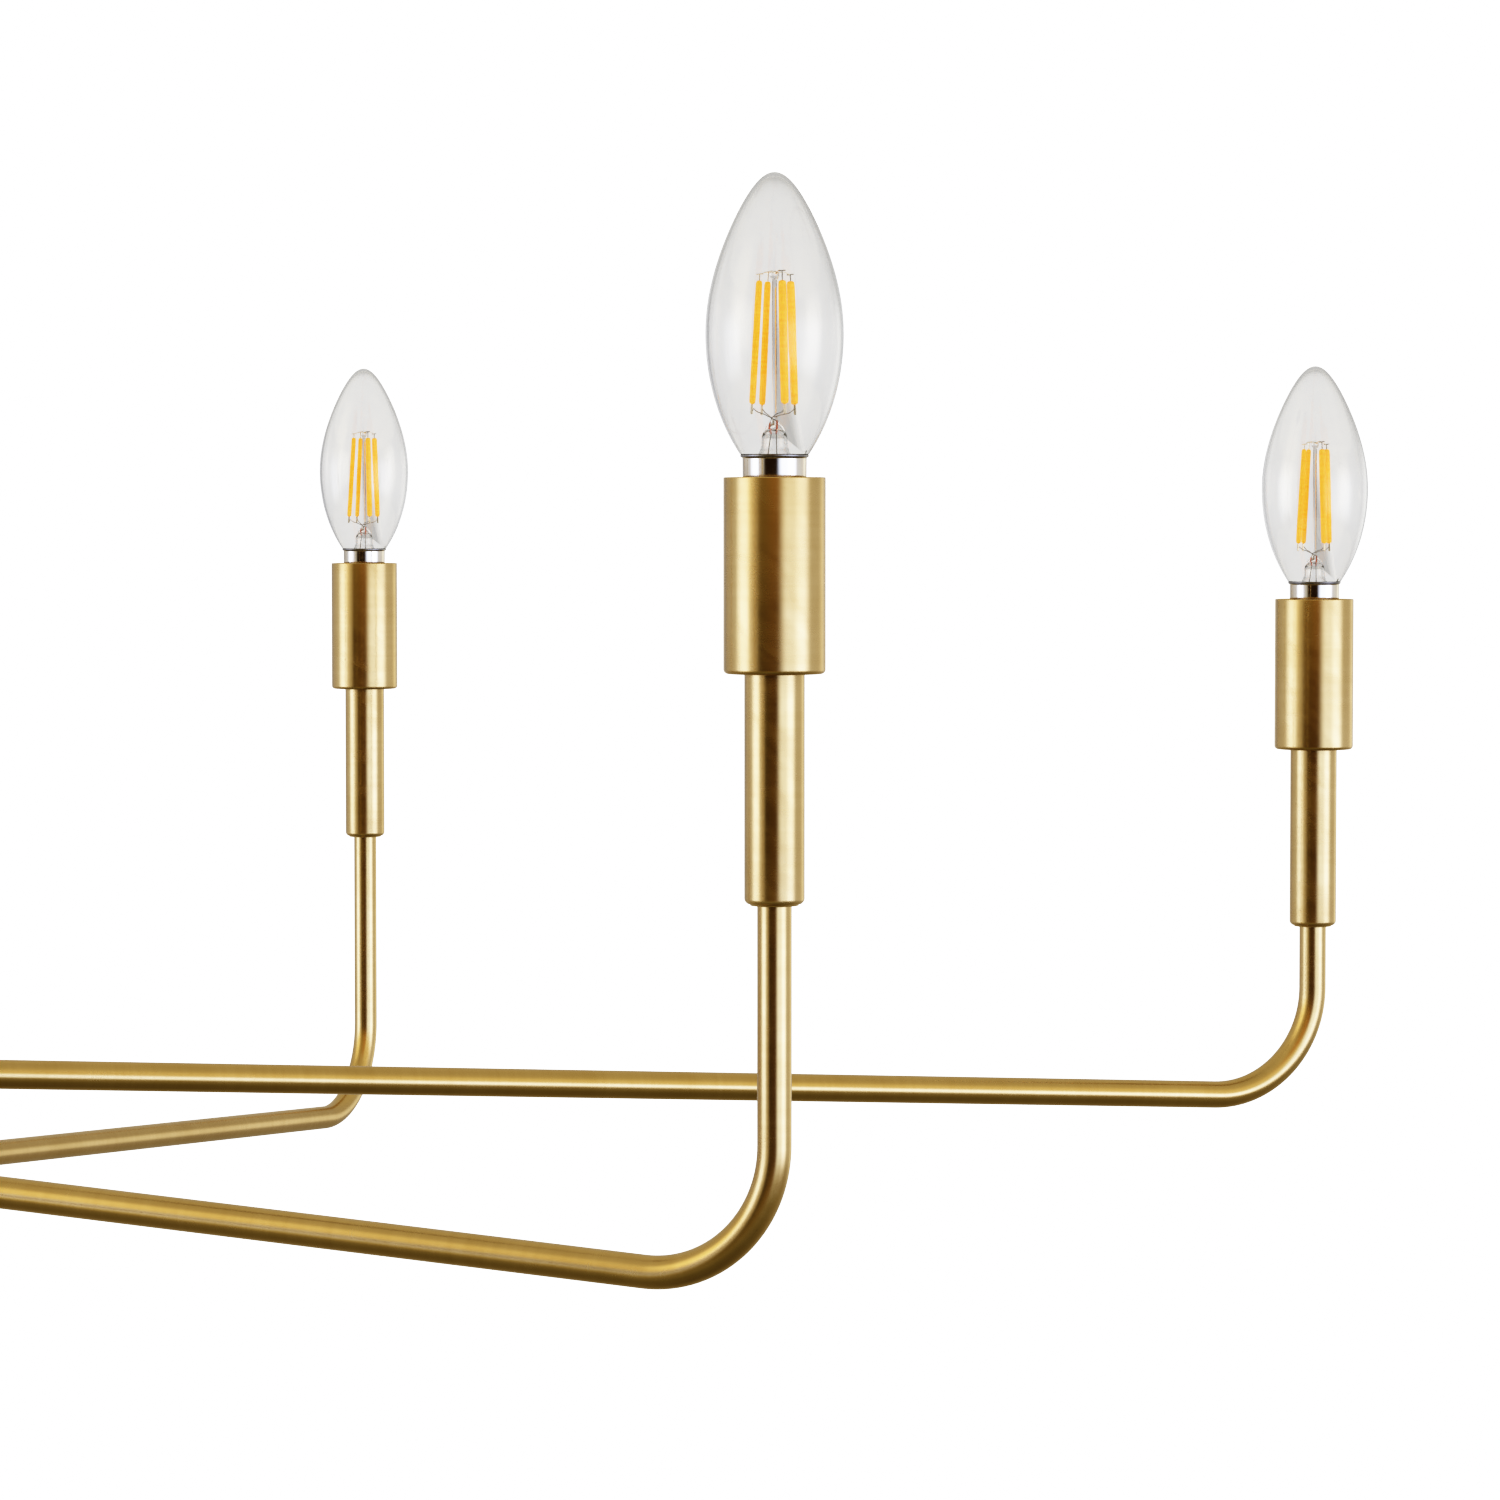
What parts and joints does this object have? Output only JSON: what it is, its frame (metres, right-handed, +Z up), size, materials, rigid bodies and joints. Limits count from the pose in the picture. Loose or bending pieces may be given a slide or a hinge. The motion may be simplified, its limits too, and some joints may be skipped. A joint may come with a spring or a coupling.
{
  "type": "multi arm chandelier",
  "caption": "Brass candle chandelier: straight radial arms from a stacked hub turn up into slim candle sleeves with clear filament candle bulbs, hung on a rod from a ceiling canopy.",
  "frame": {"origin": "centre of the ceiling bracket's top face, where the lamp meets the ceiling", "axes": "+Z up into the ceiling, +X along the first arm of the top ring, the lamp hanging down along -Z"},
  "size_m": [1.3158, 0.9408, 0.8303],
  "materials": {
    "brass": "satin brushed",
    "steel": "zinc plated",
    "white_plastic": "matte",
    "nylon": "matte",
    "phenolic": "matte",
    "cable_sheath": "satin",
    "lead_sheath": "satin",
    "bulb_glass": "clear"
  },
  "bodies": {
    "ceiling": {"ceiling_bracket": "steel", "canopy_studs": "steel", "canopy": "brass", "canopy_nuts": "brass", "hanging_nipple": "steel", "bracket_nut": "steel", "terminal_block": "white_plastic", "earth_screw": "steel", "supply_cable": "cable_sheath", "swivel_body": "brass", "swivel_retainer": "brass"},
    "yoke": {"swivel_yoke": "brass", "swivel_pins": "steel"},
    "stem": {"swivel_knuckle": "brass", "down_rod": "brass", "feed_cable": "cable_sheath", "hub_cap": "brass", "spindle": "steel", "tier_washers": "nylon", "clamp_nut": "steel", "splice_block": "white_plastic", "splice_bowl": "brass", "finial": "brass"},
    "tier_1": {"ring_1": "brass", "arm_1": "brass", "arm_2": "brass", "arm_leads_1": "lead_sheath", "sleeves_1": "brass", "cups_1": "brass", "sockets_1": "phenolic"},
    "tier_2": {"ring_2": "brass", "arm_3": "brass", "arm_4": "brass", "arm_leads_2": "lead_sheath", "sleeves_2": "brass", "cups_2": "brass", "sockets_2": "phenolic"},
    "tier_3": {"ring_3": "brass", "arm_5": "brass", "arm_6": "brass", "arm_leads_3": "lead_sheath", "sleeves_3": "brass", "cups_3": "brass", "sockets_3": "phenolic"},
    "tier_4": {"ring_4": "brass", "arm_7": "brass", "arm_8": "brass", "arm_leads_4": "lead_sheath", "sleeves_4": "brass", "cups_4": "brass", "sockets_4": "phenolic"},
    "lamp_1": {"bulb_1": "bulb_glass"},
    "lamp_2": {"bulb_2": "bulb_glass"},
    "lamp_3": {"bulb_3": "bulb_glass"},
    "lamp_4": {"bulb_4": "bulb_glass"},
    "lamp_5": {"bulb_5": "bulb_glass"},
    "lamp_6": {"bulb_6": "bulb_glass"},
    "lamp_7": {"bulb_7": "bulb_glass"},
    "lamp_8": {"bulb_8": "bulb_glass"}
  },
  "joints": [
    {"name": "swivel_turn", "type": "hinge", "parent": "ceiling", "child": "yoke", "pos_m": [0, 0, -0.074], "axis": [0, 0, 1], "range_deg": [-170, 170]},
    {"name": "swivel_tilt", "type": "hinge", "parent": "yoke", "child": "stem", "pos_m": [0, 0, -0.074], "axis": [1, 0, 0], "range_deg": [-25, 25]},
    {"name": "ring_1_turn", "type": "hinge", "parent": "stem", "child": "tier_1", "pos_m": [0, 0, -0.72], "axis": [0, 0, 1], "range_deg": [-20, 20]},
    {"name": "ring_2_turn", "type": "hinge", "parent": "stem", "child": "tier_2", "pos_m": [0, 0, -0.7352], "axis": [0, 0, 1], "range_deg": [-20, 20]},
    {"name": "ring_3_turn", "type": "hinge", "parent": "stem", "child": "tier_3", "pos_m": [0, 0, -0.7504], "axis": [0, 0, 1], "range_deg": [-20, 20]},
    {"name": "ring_4_turn", "type": "hinge", "parent": "stem", "child": "tier_4", "pos_m": [0, 0, -0.7656], "axis": [0, 0, 1], "range_deg": [-20, 20]},
    {"name": "bulb_1_unscrew", "type": "slide", "parent": "tier_1", "child": "lamp_1", "axis": [0, 0, 1], "range_m": [0, 0.03]},
    {"name": "bulb_2_unscrew", "type": "slide", "parent": "tier_1", "child": "lamp_2", "axis": [0, 0, 1], "range_m": [0, 0.03]},
    {"name": "bulb_3_unscrew", "type": "slide", "parent": "tier_2", "child": "lamp_3", "axis": [0, 0, 1], "range_m": [0, 0.03]},
    {"name": "bulb_4_unscrew", "type": "slide", "parent": "tier_2", "child": "lamp_4", "axis": [0, 0, 1], "range_m": [0, 0.03]},
    {"name": "bulb_5_unscrew", "type": "slide", "parent": "tier_3", "child": "lamp_5", "axis": [0, 0, 1], "range_m": [0, 0.03]},
    {"name": "bulb_6_unscrew", "type": "slide", "parent": "tier_3", "child": "lamp_6", "axis": [0, 0, 1], "range_m": [0, 0.03]},
    {"name": "bulb_7_unscrew", "type": "slide", "parent": "tier_4", "child": "lamp_7", "axis": [0, 0, 1], "range_m": [0, 0.03]},
    {"name": "bulb_8_unscrew", "type": "slide", "parent": "tier_4", "child": "lamp_8", "axis": [0, 0, 1], "range_m": [0, 0.03]}
  ]
}
